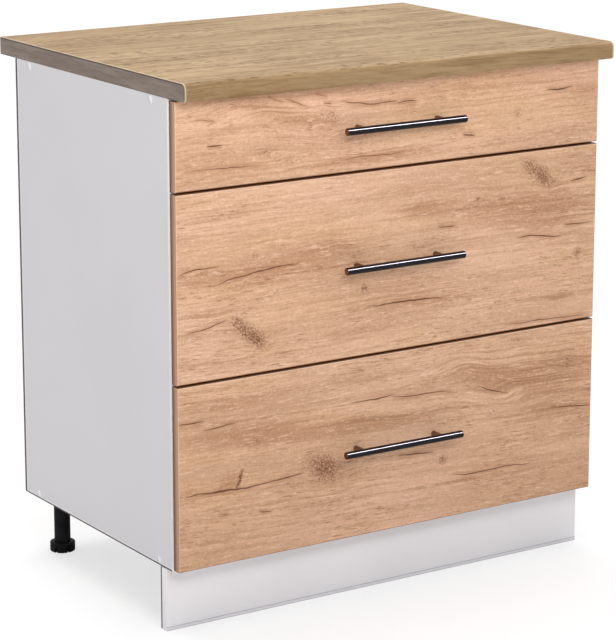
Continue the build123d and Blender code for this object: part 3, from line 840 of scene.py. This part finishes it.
# %% Worktop core
def worktop_board(name):
    """Raw chipboard, with smooth brown paper where it faces down."""
    material, tree, shader = new_material(name, color(180, 150, 110), 0.8)
    place = object_place(tree)
    raw, bumps = chipboard(tree, place, (0.5, 1.0, 1.0))
    fibre = noise(tree, place, (60.0, 200.0, 60.0), detail=4.0, roughness=0.7)
    paper = paint(tree, color(170, 146, 122), (fibre, 0.35, 0.65, 1.0, color(150, 126, 102)))
    under = ramp(tree, facing(tree, 2), -0.6, -0.8)
    relief = times(tree, bumps, calc(tree, "SUBTRACT", 1.0, under))
    dress(tree, shader, blend_colors(tree, under, raw, paper), relief, 0.15 * MM)
    return material


give(worktop_board("worktop_chipboard"), "worktop_core")
print("worktop core:", nodes["worktop_core"].data.materials[0].name)


# %% [markdown]
# ## Metals
#
# Zinc-plated steel is pale and slightly blue, with cloudy patches that are a little rougher than the rest.
# The handles are dark: a smooth coating in which only the lamps show, as one thin bright line, while the
# sawn ends of the bars are coppery. The posts reflect the oak fronts, and their brown tint adds a painted
# reflection of the oak. All are one recipe with other numbers, because metal is mostly its reflections, and
# those come from the roughness.

# %% Steel and handles
def plated_steel(name, tint, roughness, scale, uneven=0.25, ends=None):
    """Metal whose tone and roughness vary in soft patches; a bar's ends may have their own tone."""
    material, tree, shader = new_material(name, tint, roughness, metallic=1.0)
    place = object_place(tree)
    clouds = noise(tree, place, scale, detail=3.0, roughness=0.6)
    fine = noise(tree, place, 1800.0, detail=2.0)
    tone = paint(tree, tint, (clouds, 0.35, 0.65, 1.0, scaled(tint, 0.8)))
    if ends:
        tone = paint(tree, tone, (calc(tree, "ABSOLUTE", facing(tree, 0)), 0.7, 0.95, 1.0, ends))
    patchy = calc(tree, "MULTIPLY_ADD", clouds, uneven, roughness - 0.4 * uneven)
    tree.links.new(patchy, shader.inputs["Roughness"])
    dress(tree, shader, tone, fine, 0.01 * MM, 0.4)
    return material


ZINC = plated_steel("zinc_steel", color(196, 200, 206), 0.34, 90.0)
RUNNER_STEEL = plated_steel("runner_steel", color(205, 207, 210), 0.28, 40.0)
BAR_END = color(132, 100, 88)
HANDLE_BAR = plated_steel("handle_metal", color(46, 44, 47), 0.12, 60.0, uneven=0.06, ends=BAR_END)
# the posts' brown tint is a painted reflection of the oak fronts
HANDLE_POST_PAINTED_REFLECTION = plated_steel("handle_post", color(140, 114, 100), 0.3, 60.0)
give(ZINC, "confirmat_screws", "chipboard_screws", "worktop_screws", "back_panel_nails")
for name in DRAWERS:
    give(ZINC, f"{name}_drawer_screws")
    give(RUNNER_STEEL, *[f"{name}_runners_{member}" for member in ("cabinet", "middle", "drawer")])
    give(HANDLE_BAR, f"{name}_handle_bar")
    give(HANDLE_POST_PAINTED_REFLECTION, f"{name}_handle_posts")
print("metals:", [metal.name for metal in (ZINC, RUNNER_STEEL, HANDLE_BAR, HANDLE_POST_PAINTED_REFLECTION)])


# %% [markdown]
# ## Black plastic
#
# The legs and the clips are moulded in black polypropylene. The mould's spark-eroded texture makes it
# matt, so very fine pebbles and a high roughness matter more here than the colour.

# %% Legs and clips
def moulded_black(name, tint, roughness):
    """Matt moulded plastic with a fine pebbled texture."""
    material, tree, shader = new_material(name, tint, roughness, specular=0.1)
    place = object_place(tree)
    pebbles = noise(tree, place, 1500.0, detail=2.0)
    clouds = noise(tree, place, 60.0, detail=3.0)
    tone = paint(tree, tint, (clouds, 0.4, 0.7, 1.0, scaled(tint, 1.5, lift=0.002)))
    tree.links.new(calc(tree, "MULTIPLY_ADD", clouds, 0.2, roughness - 0.1), shader.inputs["Roughness"])
    dress(tree, shader, tone, pebbles, 0.03 * MM, 0.6)
    return material


CORNERS = ("front_left", "front_right", "rear_left", "rear_right")
LEG_BLACK = moulded_black("leg_plastic", color(22, 20, 23), 0.6)
give(LEG_BLACK, "leg_sockets", "leg_tubes", "plinth_clips", *[f"foot_{corner}" for corner in CORNERS])
print("black pieces:", 3 + len(CORNERS))


# %% [markdown]
# A soft white strip is pressed over the lower edge of the plinth and keeps water out of the board. It has
# a lip above and one below. They are too shallow to model, so a little shade and relief draws them.

# %% The plinth's seal
SEAL_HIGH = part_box("plinth_seal")[1].z


def seal_plastic(name):
    """Soft white plastic, a little darker and lower along its two lips."""
    material, tree, shader = new_material(name, color(238, 236, 240), 0.5)
    place = object_place(tree)
    pearl = noise(tree, place, 600.0, detail=1.0)
    middle = calc(tree, "SUBTRACT", split(tree, place)[2], SEAL_HIGH / 2)
    lips = ramp(tree, calc(tree, "ABSOLUTE", middle), SEAL_HIGH * 0.22, SEAL_HIGH * 0.40)
    tone = blend_colors(tree, lips, color(246, 244, 248), color(206, 204, 210))
    dress(tree, shader, tone, calc(tree, "MULTIPLY_ADD", lips, -2.0, pearl), 0.05 * MM)
    return material


give(seal_plastic("seal_plastic"), "plinth_seal")
print("seal up to z", round(SEAL_HIGH, 4))


# %% [markdown]
# ## Small hardware
#
# The construction has every fastener at its true place, but plain: countersunk heads without a recess, and
# screw caps that are flat discs. They are finished here. A group of fasteners is one mesh, so it is first
# merged and taken apart into its separate solids, and the box of each tells where its head is. That is
# surer than writing each place down, and follows the fasteners when they move.

# %% Helpers for modelling
MERGE_WITHIN = 0.001 * MM
SMOOTH_BELOW = math.radians(30.0)


def select_only(pieces):
    """Selects these pieces and nothing else; the first becomes the active one."""
    bpy.ops.object.select_all(action="DESELECT")
    for piece in pieces:
        piece.select_set(True)
    bpy.context.view_layer.objects.active = pieces[0]


def take_apart(name):
    """Copies a node into one object for each of its separate solids."""
    copy = bpy.data.objects.new(f"{name}_copy", nodes[name].data.copy())
    bpy.context.scene.collection.objects.link(copy)
    select_only([copy])
    bpy.ops.object.mode_set(mode="EDIT")
    bpy.ops.mesh.select_all(action="SELECT")
    bpy.ops.mesh.remove_doubles(threshold=MERGE_WITHIN)
    bpy.ops.mesh.separate(type="LOOSE")
    bpy.ops.object.mode_set(mode="OBJECT")
    return list(bpy.context.selected_objects)


def reach(piece):
    """The lowest and highest corners of a piece."""
    points = [vertex.co for vertex in piece.data.vertices]
    low = Vector([min(point[axis] for point in points) for axis in range(3)])
    high = Vector([max(point[axis] for point in points) for axis in range(3)])
    return low, high


def placed_copy(model, spot, way):
    """A copy, with a mesh of its own, of a model along +Z, stood on a spot and turned to face a way."""
    turn = Vector(way).to_track_quat("Z", "Y").to_matrix().to_4x4()
    copy = bpy.data.objects.new(model.name, model.data.copy())
    copy.data.transform(Matrix.Translation(spot) @ turn)
    bpy.context.scene.collection.objects.link(copy)
    return copy


def join(pieces, name):
    """Makes one piece of several, smooth but for its sharp edges."""
    select_only(pieces)
    bpy.ops.object.join()
    joined = bpy.context.object
    joined.name = name
    bpy.ops.object.shade_smooth_by_angle(angle=SMOOTH_BELOW)
    return joined


# %% [markdown]
# A cross recess is what the tip of a driver would leave. The tip is a small cube whose four sides are
# extruded into wings, narrowed at its point. A Boolean modifier then cuts all the tips of a group out of
# its heads at once. Shaping one tip and cutting with it is far less work than shaping every head.

# %% The driver's tip
WING_THICK = 1.1 * MM
WING_REACH = 1.6 * MM
RECESS_DEEP = 2.0 * MM
TIP_NARROW = 0.35  # width of the point, as a share of the width at the top


def driver_tip():
    """A cross-shaped tip that points down from the origin, and stands as far above it."""
    bpy.ops.object.select_all(action="DESELECT")
    bpy.ops.mesh.primitive_cube_add(size=1.0)
    tip = bpy.context.object
    tip.name = "driver_tip"
    tip.scale = (WING_THICK, WING_THICK, 2.0 * RECESS_DEEP)
    bpy.ops.object.transform_apply(location=False, rotation=False, scale=True)
    for face in tip.data.polygons:
        face.select = abs(face.normal.z) < 0.5
    bpy.ops.object.mode_set(mode="EDIT")
    bpy.ops.mesh.select_mode(type="FACE")
    bpy.ops.mesh.extrude_faces_move(TRANSFORM_OT_shrink_fatten={"value": WING_REACH})
    bpy.ops.object.mode_set(mode="OBJECT")
    for face in tip.data.polygons:
        face.select = face.normal.z < -0.5
    bpy.ops.object.mode_set(mode="EDIT")
    bpy.ops.transform.resize(value=(TIP_NARROW, TIP_NARROW, 1.0))
    bpy.ops.mesh.select_all(action="SELECT")
    bpy.ops.mesh.remove_doubles(threshold=MERGE_WITHIN)
    bpy.ops.mesh.normals_make_consistent(inside=False)
    bpy.ops.object.mode_set(mode="OBJECT")
    return tip


DRIVER_TIP = driver_tip()
print("driver tip faces:", len(DRIVER_TIP.data.polygons))


# %% Cross recesses
def head_of(low, high, sideways):
    """Where a screw's head is and which way it faces, from its box.

    Upright screws are driven from below and those along the drawers from behind. Of those that lie across,
    sideways is 1 where the heads face away from the cabinet's middle, and -1 where they face it.
    """
    size = high - low
    spot = (low + high) / 2
    along = max(range(3), key=lambda axis: size[axis])
    sign = (math.copysign(sideways, spot.x), 1.0, -1.0)[along]
    spot[along] = high[along] if sign > 0 else low[along]
    way = Vector((0.0, 0.0, 0.0))
    way[along] = sign
    return spot, way


def recessed_screws(name, body, sideways):
    """The screws of a node, with a cross recess in every head, standing for the plain ones."""
    screws = take_apart(name)
    tips = [placed_copy(DRIVER_TIP, *head_of(*reach(screw), sideways)) for screw in screws]
    piece = join(screws, f"{name}_recessed")
    cutter = join(tips, "recess_cutter")
    cut = piece.modifiers.new("recess", "BOOLEAN")
    cut.operation = "DIFFERENCE"
    cut.solver = "EXACT"
    cut.object = cutter
    select_only([piece])
    bpy.ops.object.modifier_apply(modifier=cut.name)
    bpy.ops.object.shade_smooth_by_angle(angle=SMOOTH_BELOW)
    bpy.data.objects.remove(cutter)
    piece.data.materials.clear()
    piece.data.materials.append(ZINC)
    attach(piece, body)
    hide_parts(name)
    print(name, "recessed:", len(tips), "heads,", len(piece.data.polygons), "faces")


for name in DRAWERS:
    recessed_screws(f"{name}_drawer_screws", f"drawer_{name}", sideways=1.0)
recessed_screws("chipboard_screws", "carcass", sideways=-1.0)
recessed_screws("worktop_screws", "carcass", sideways=-1.0)
bpy.data.objects.remove(DRIVER_TIP)


# %% [markdown]
# The caps over the connecting screws are shallow domes with a stub behind. A flattened sphere would waste
# faces on the half that nobody sees. A round button is easy to model by hand: fill a circle, then extrude
# its face and resize it, step by step, and each step gives one ring of the dome.

# %% A round button
def button(name, profile, sides=32):
    """A closed round piece along +Z, drawn from its lowest face up by steps of (radius, height)."""
    bpy.ops.object.select_all(action="DESELECT")
    first_radius, first_height = profile[0]
    bpy.ops.mesh.primitive_circle_add(
        vertices=sides, radius=first_radius, fill_type="NGON", location=(0.0, 0.0, first_height)
    )
    made = bpy.context.object
    made.name = name
    bpy.ops.object.transform_apply(location=True, rotation=False, scale=False)
    bpy.ops.object.mode_set(mode="EDIT")
    bpy.ops.mesh.select_all(action="SELECT")
    for (radius, height), (last_radius, last_height) in zip(profile[1:], profile):
        bpy.ops.mesh.extrude_region_move(TRANSFORM_OT_translate={"value": (0.0, 0.0, height - last_height)})
        share = radius / last_radius
        bpy.ops.transform.resize(value=(share, share, 1.0))
    bpy.ops.mesh.select_all(action="SELECT")
    bpy.ops.mesh.normals_make_consistent(inside=False)
    bpy.ops.object.mode_set(mode="OBJECT")
    return made


# %% Domed screw caps
CAP_RISE = SIDE_LOW.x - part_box("screw_caps")[0].x
RING_SHARES = (1.0, 0.92, 0.80, 0.65, 0.48, 0.30, 0.12)  # rings of the dome, from its rim inwards
STUB_RADIUS = 1.8 * MM
STUB_LONG = 2.4 * MM
CAP_LIGHT = color(250, 248, 251)
# painted shade on the side of each dome that faces the rear and below
CAP_PAINTED_SHADE = color(186, 184, 190)


def cap_profile(radius):
    """Stub, underside and a shallow dome, whose outline is an arc."""
    bend = (radius * radius + CAP_RISE * CAP_RISE) / (2.0 * CAP_RISE)
    leans = [math.asin(radius / bend) * share for share in RING_SHARES]
    arc = [(bend * math.sin(lean), bend * math.cos(lean) - bend + CAP_RISE) for lean in leans]
    return [(STUB_RADIUS, -STUB_LONG), (STUB_RADIUS, 0.0), *arc]


def cap_plastic(name):
    """White plastic, with painted shade where the dome falls away to the rear and below."""
    material, tree, shader = new_material(name, CAP_LIGHT, 0.4)
    place = object_place(tree)
    pearl = noise(tree, place, 900.0, detail=1.0)
    # how far the dome faces the rear and below, where it gets painted shade
    away = calc(tree, "MULTIPLY_ADD", facing(tree, 2), -0.4, facing(tree, 1))
    dress(tree, shader, paint(tree, CAP_LIGHT, (away, 0.02, 0.22, 1.0, CAP_PAINTED_SHADE)), pearl, 0.04 * MM)
    return material


def domed_caps():
    """One dome for every cap of the construction, joined into one piece."""
    flat_caps = take_apart("screw_caps")
    boxes = [reach(flat) for flat in flat_caps]
    for flat in flat_caps:
        bpy.data.objects.remove(flat)
    low, high = boxes[0]
    model = button("screw_cap", cap_profile((high.z - low.z) / 2))
    domes = []
    for low, high in boxes:
        side = math.copysign(1.0, low.x)
        spot = Vector((-side * SIDE_LOW.x, (low.y + high.y) / 2, (low.z + high.z) / 2))
        domes.append(placed_copy(model, spot, (side, 0.0, 0.0)))
    bpy.data.objects.remove(model)
    piece = join(domes, "screw_caps_domed")
    piece.data.materials.append(cap_plastic("cap_white"))
    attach(piece, "carcass")
    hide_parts("screw_caps")
    return piece


print("domed caps:", len(domed_caps().data.polygons), "faces")


# %% [markdown]
# Small milky buffers are glued in the corners behind each front and keep it from slamming. They are
# buttons too, only lower and softer: one is modelled, and every corner gets a copy of its own.

# %% Buffers behind the fronts
BUFFER_LIGHT = color(226, 228, 226)
BUFFER_CLOUD = color(212, 216, 214)
BUFFER_PROFILE = [(4.0 * MM, 0.0), (4.0 * MM, 0.5 * MM), (3.4 * MM, 1.0 * MM), (2.2 * MM, 1.3 * MM)]
BUFFER_ASIDE = 7 * MM
BUFFER_INSET = 14 * MM


def buffer_plastic(name):
    """Milky soft plastic."""
    material, tree, shader = new_material(name, BUFFER_LIGHT, 0.25)
    milk = noise(tree, object_place(tree), 300.0, detail=2.0)
    dress(tree, shader, paint(tree, BUFFER_LIGHT, (milk, 0.4, 0.6, 1.0, BUFFER_CLOUD)), milk, 0.02 * MM)
    return material


BUFFER_WHITE = buffer_plastic("buffer_plastic")
buffer_model = button("buffer", BUFFER_PROFILE, sides=24)
for name in DRAWERS:
    low, high = front_boxes[name]
    spots = [
        Vector((x, high.y, z))
        for x in (low.x + BUFFER_ASIDE, high.x - BUFFER_ASIDE)
        for z in (low.z + BUFFER_INSET, high.z - BUFFER_INSET)
    ]
    copies = [placed_copy(buffer_model, spot, (0.0, 1.0, 0.0)) for spot in spots]
    buffers = join(copies, f"{name}_front_buffers")
    buffers.data.materials.append(BUFFER_WHITE)
    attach(buffers, f"drawer_{name}")
bpy.data.objects.remove(buffer_model)
print("buffers: four behind each front")

# %% [markdown]
# ## Floor, light and camera
#
# The cabinet stands as a cut-out on white. Turning the lights up until the floor is white would bleach the
# cabinet too. So the floor itself knows which rays come from the camera: for these it glows and reflects
# less, which leaves it white with the cabinet's soft shadow, and for all other rays it is a plain pale
# floor that throws some light back up.

# %% Floor
FLOOR_SIZE = 60.0
FLOOR_BOUNCE = (0.84, 0.84, 0.84, 1.0)
FLOOR_SEEN = (0.38, 0.38, 0.38, 1.0)
FLOOR_GLOW = 0.64
WHITE = (1.0, 1.0, 1.0, 1.0)
bpy.ops.object.select_all(action="DESELECT")
bpy.ops.mesh.primitive_plane_add(size=FLOOR_SIZE, location=(0.0, 0.0, 0.0))
floor = bpy.context.object
floor.name = "floor"
floor_material, floor_tree, floor_shader = new_material("floor_white", FLOOR_BOUNCE, 0.9, specular=0.0)
floor_rays = add_node(floor_tree, "ShaderNodeLightPath").outputs
floor_tone = blend_colors(floor_tree, floor_rays["Is Camera Ray"], FLOOR_BOUNCE, FLOOR_SEEN)
glow = times(floor_tree, floor_rays["Is Camera Ray"], FLOOR_GLOW)
set_inputs(floor_tree, floor_shader, {
    "Base Color": floor_tone, "Emission Color": WHITE, "Emission Strength": glow,
})
floor.data.materials.append(floor_material)
print("floor:", FLOOR_SIZE, "metres across")

# %% [markdown]
# The world is the room around the cabinet. To the camera and in reflections it is plain white, and as a
# light it is weaker, so that the shadows under the worktop and between the fronts keep some depth.

# %% World
WORLD_LIGHT = 0.4  # strength as a light; 1 is what the camera sees
world = bpy.data.worlds.new("white_studio")
bpy.context.scene.world = world
world.use_nodes = True
world_tree = world.node_tree
rays = add_node(world_tree, "ShaderNodeLightPath").outputs
seen = calc(world_tree, "MAXIMUM", rays["Is Camera Ray"], rays["Is Glossy Ray"])
seen = calc(world_tree, "MAXIMUM", seen, rays["Is Transmission Ray"])
level = calc(world_tree, "MULTIPLY_ADD", seen, 1.0 - WORLD_LIGHT, WORLD_LIGHT)
set_inputs(world_tree, world_tree.nodes["Background"], {"Color": WHITE, "Strength": level})
print("world as a light:", WORLD_LIGHT)

# %% [markdown]
# A very soft sun stands nearly overhead and leans a little from behind, so it lights the worktop and the
# floor far more than the fronts. These get a weak wide lamp in front, well above the worktop, which aims
# high and so lights the top front more than the bottom one. The left side gets little but the world and
# the floor, which sets it off from the fronts.

# %% Sun and front lamp
def add_lamp(name, kind, energy, place, target, **settings):
    """A lamp at a place, turned to a target."""
    light = bpy.data.lights.new(name, kind)
    light.energy = energy
    for key, value in settings.items():
        setattr(light, key, value)
    lamp = bpy.data.objects.new(name, light)
    bpy.context.scene.collection.objects.link(lamp)
    lamp.location = place
    lamp.rotation_euler = (Vector(target) - Vector(place)).to_track_quat("-Z", "Y").to_euler()
    print(name, "at", place)
    return lamp


SUN_STRENGTH = 2.1
SUN_SOFTNESS = math.radians(50.0)
FRONT_LAMP_WATTS = 6.0
FRONT_LAMP_SPREAD = math.radians(80.0)
add_lamp("sun_above", "SUN", SUN_STRENGTH, (0.2, 0.8, 4.0), (0.0, 0.0, 0.0), angle=SUN_SOFTNESS)
front_lamp = add_lamp(
    "front_panel", "AREA", FRONT_LAMP_WATTS, (-0.8, -2.0, 1.7), (-0.3, -0.26, 1.02),
    shape="RECTANGLE", size=1.6, size_y=0.8, spread=FRONT_LAMP_SPREAD,
)
front_lamp.visible_camera = False

# %% [markdown]
# The bright line along each handle is the reflection of a long tube lamp, high in front of the cabinet.
# Light linking keeps it off everything but the bars, so that the wood keeps its soft light.

# %% Tube lamp for the handles
TUBE_WATTS = 1100.0
tube_lamp = add_lamp(
    "tube_above", "AREA", TUBE_WATTS, (0.0, -1.8, 2.4), (0.0, -0.29, 0.55),
    shape="RECTANGLE", size=6.0, size_y=0.4,
)
tube_lamp.visible_camera = False
tube_lamp.visible_diffuse = False
handle_bars = bpy.data.collections.new("handle_bars")
for name in DRAWERS:
    handle_bars.objects.link(nodes[f"{name}_handle_bar"])
tube_lamp.light_linking.receiver_collection = handle_bars

# %% [markdown]
# The camera stands far off, in front and to the left, with a long lens. It is above the worktop and looks
# down slightly. Distance keeps the upright edges nearly parallel. A small shift of the lens does the rest,
# as on a view camera: it takes in what lies lower without tilting the camera further.

# %% Camera
CAMERA_PLACE = (-2.3514, -3.6115, 1.4711)
CAMERA_TURN = 33.13  # degrees to the right of straight ahead
CAMERA_DIP = 12.69  # degrees below level
CAMERA_SHIFT = -0.1  # share of the picture's height
PICTURE_HEIGHT = 640
FOCAL_PIXELS = 2684.0
SENSOR = 36.0  # millimetres, like the focal length

lens = bpy.data.cameras.new("camera")
lens.sensor_fit = "VERTICAL"
lens.sensor_height = SENSOR
lens.lens = FOCAL_PIXELS / PICTURE_HEIGHT * SENSOR
lens.shift_y = CAMERA_SHIFT
lens.clip_end = 100.0
camera = bpy.data.objects.new("camera", lens)
bpy.context.scene.collection.objects.link(camera)
camera.location = CAMERA_PLACE
camera.rotation_euler = (math.radians(90 - CAMERA_DIP), 0.0, -math.radians(CAMERA_TURN))
bpy.context.scene.camera = camera
bpy.context.scene.view_settings.view_transform = "Standard"
print("lens:", round(lens.lens), "mm")
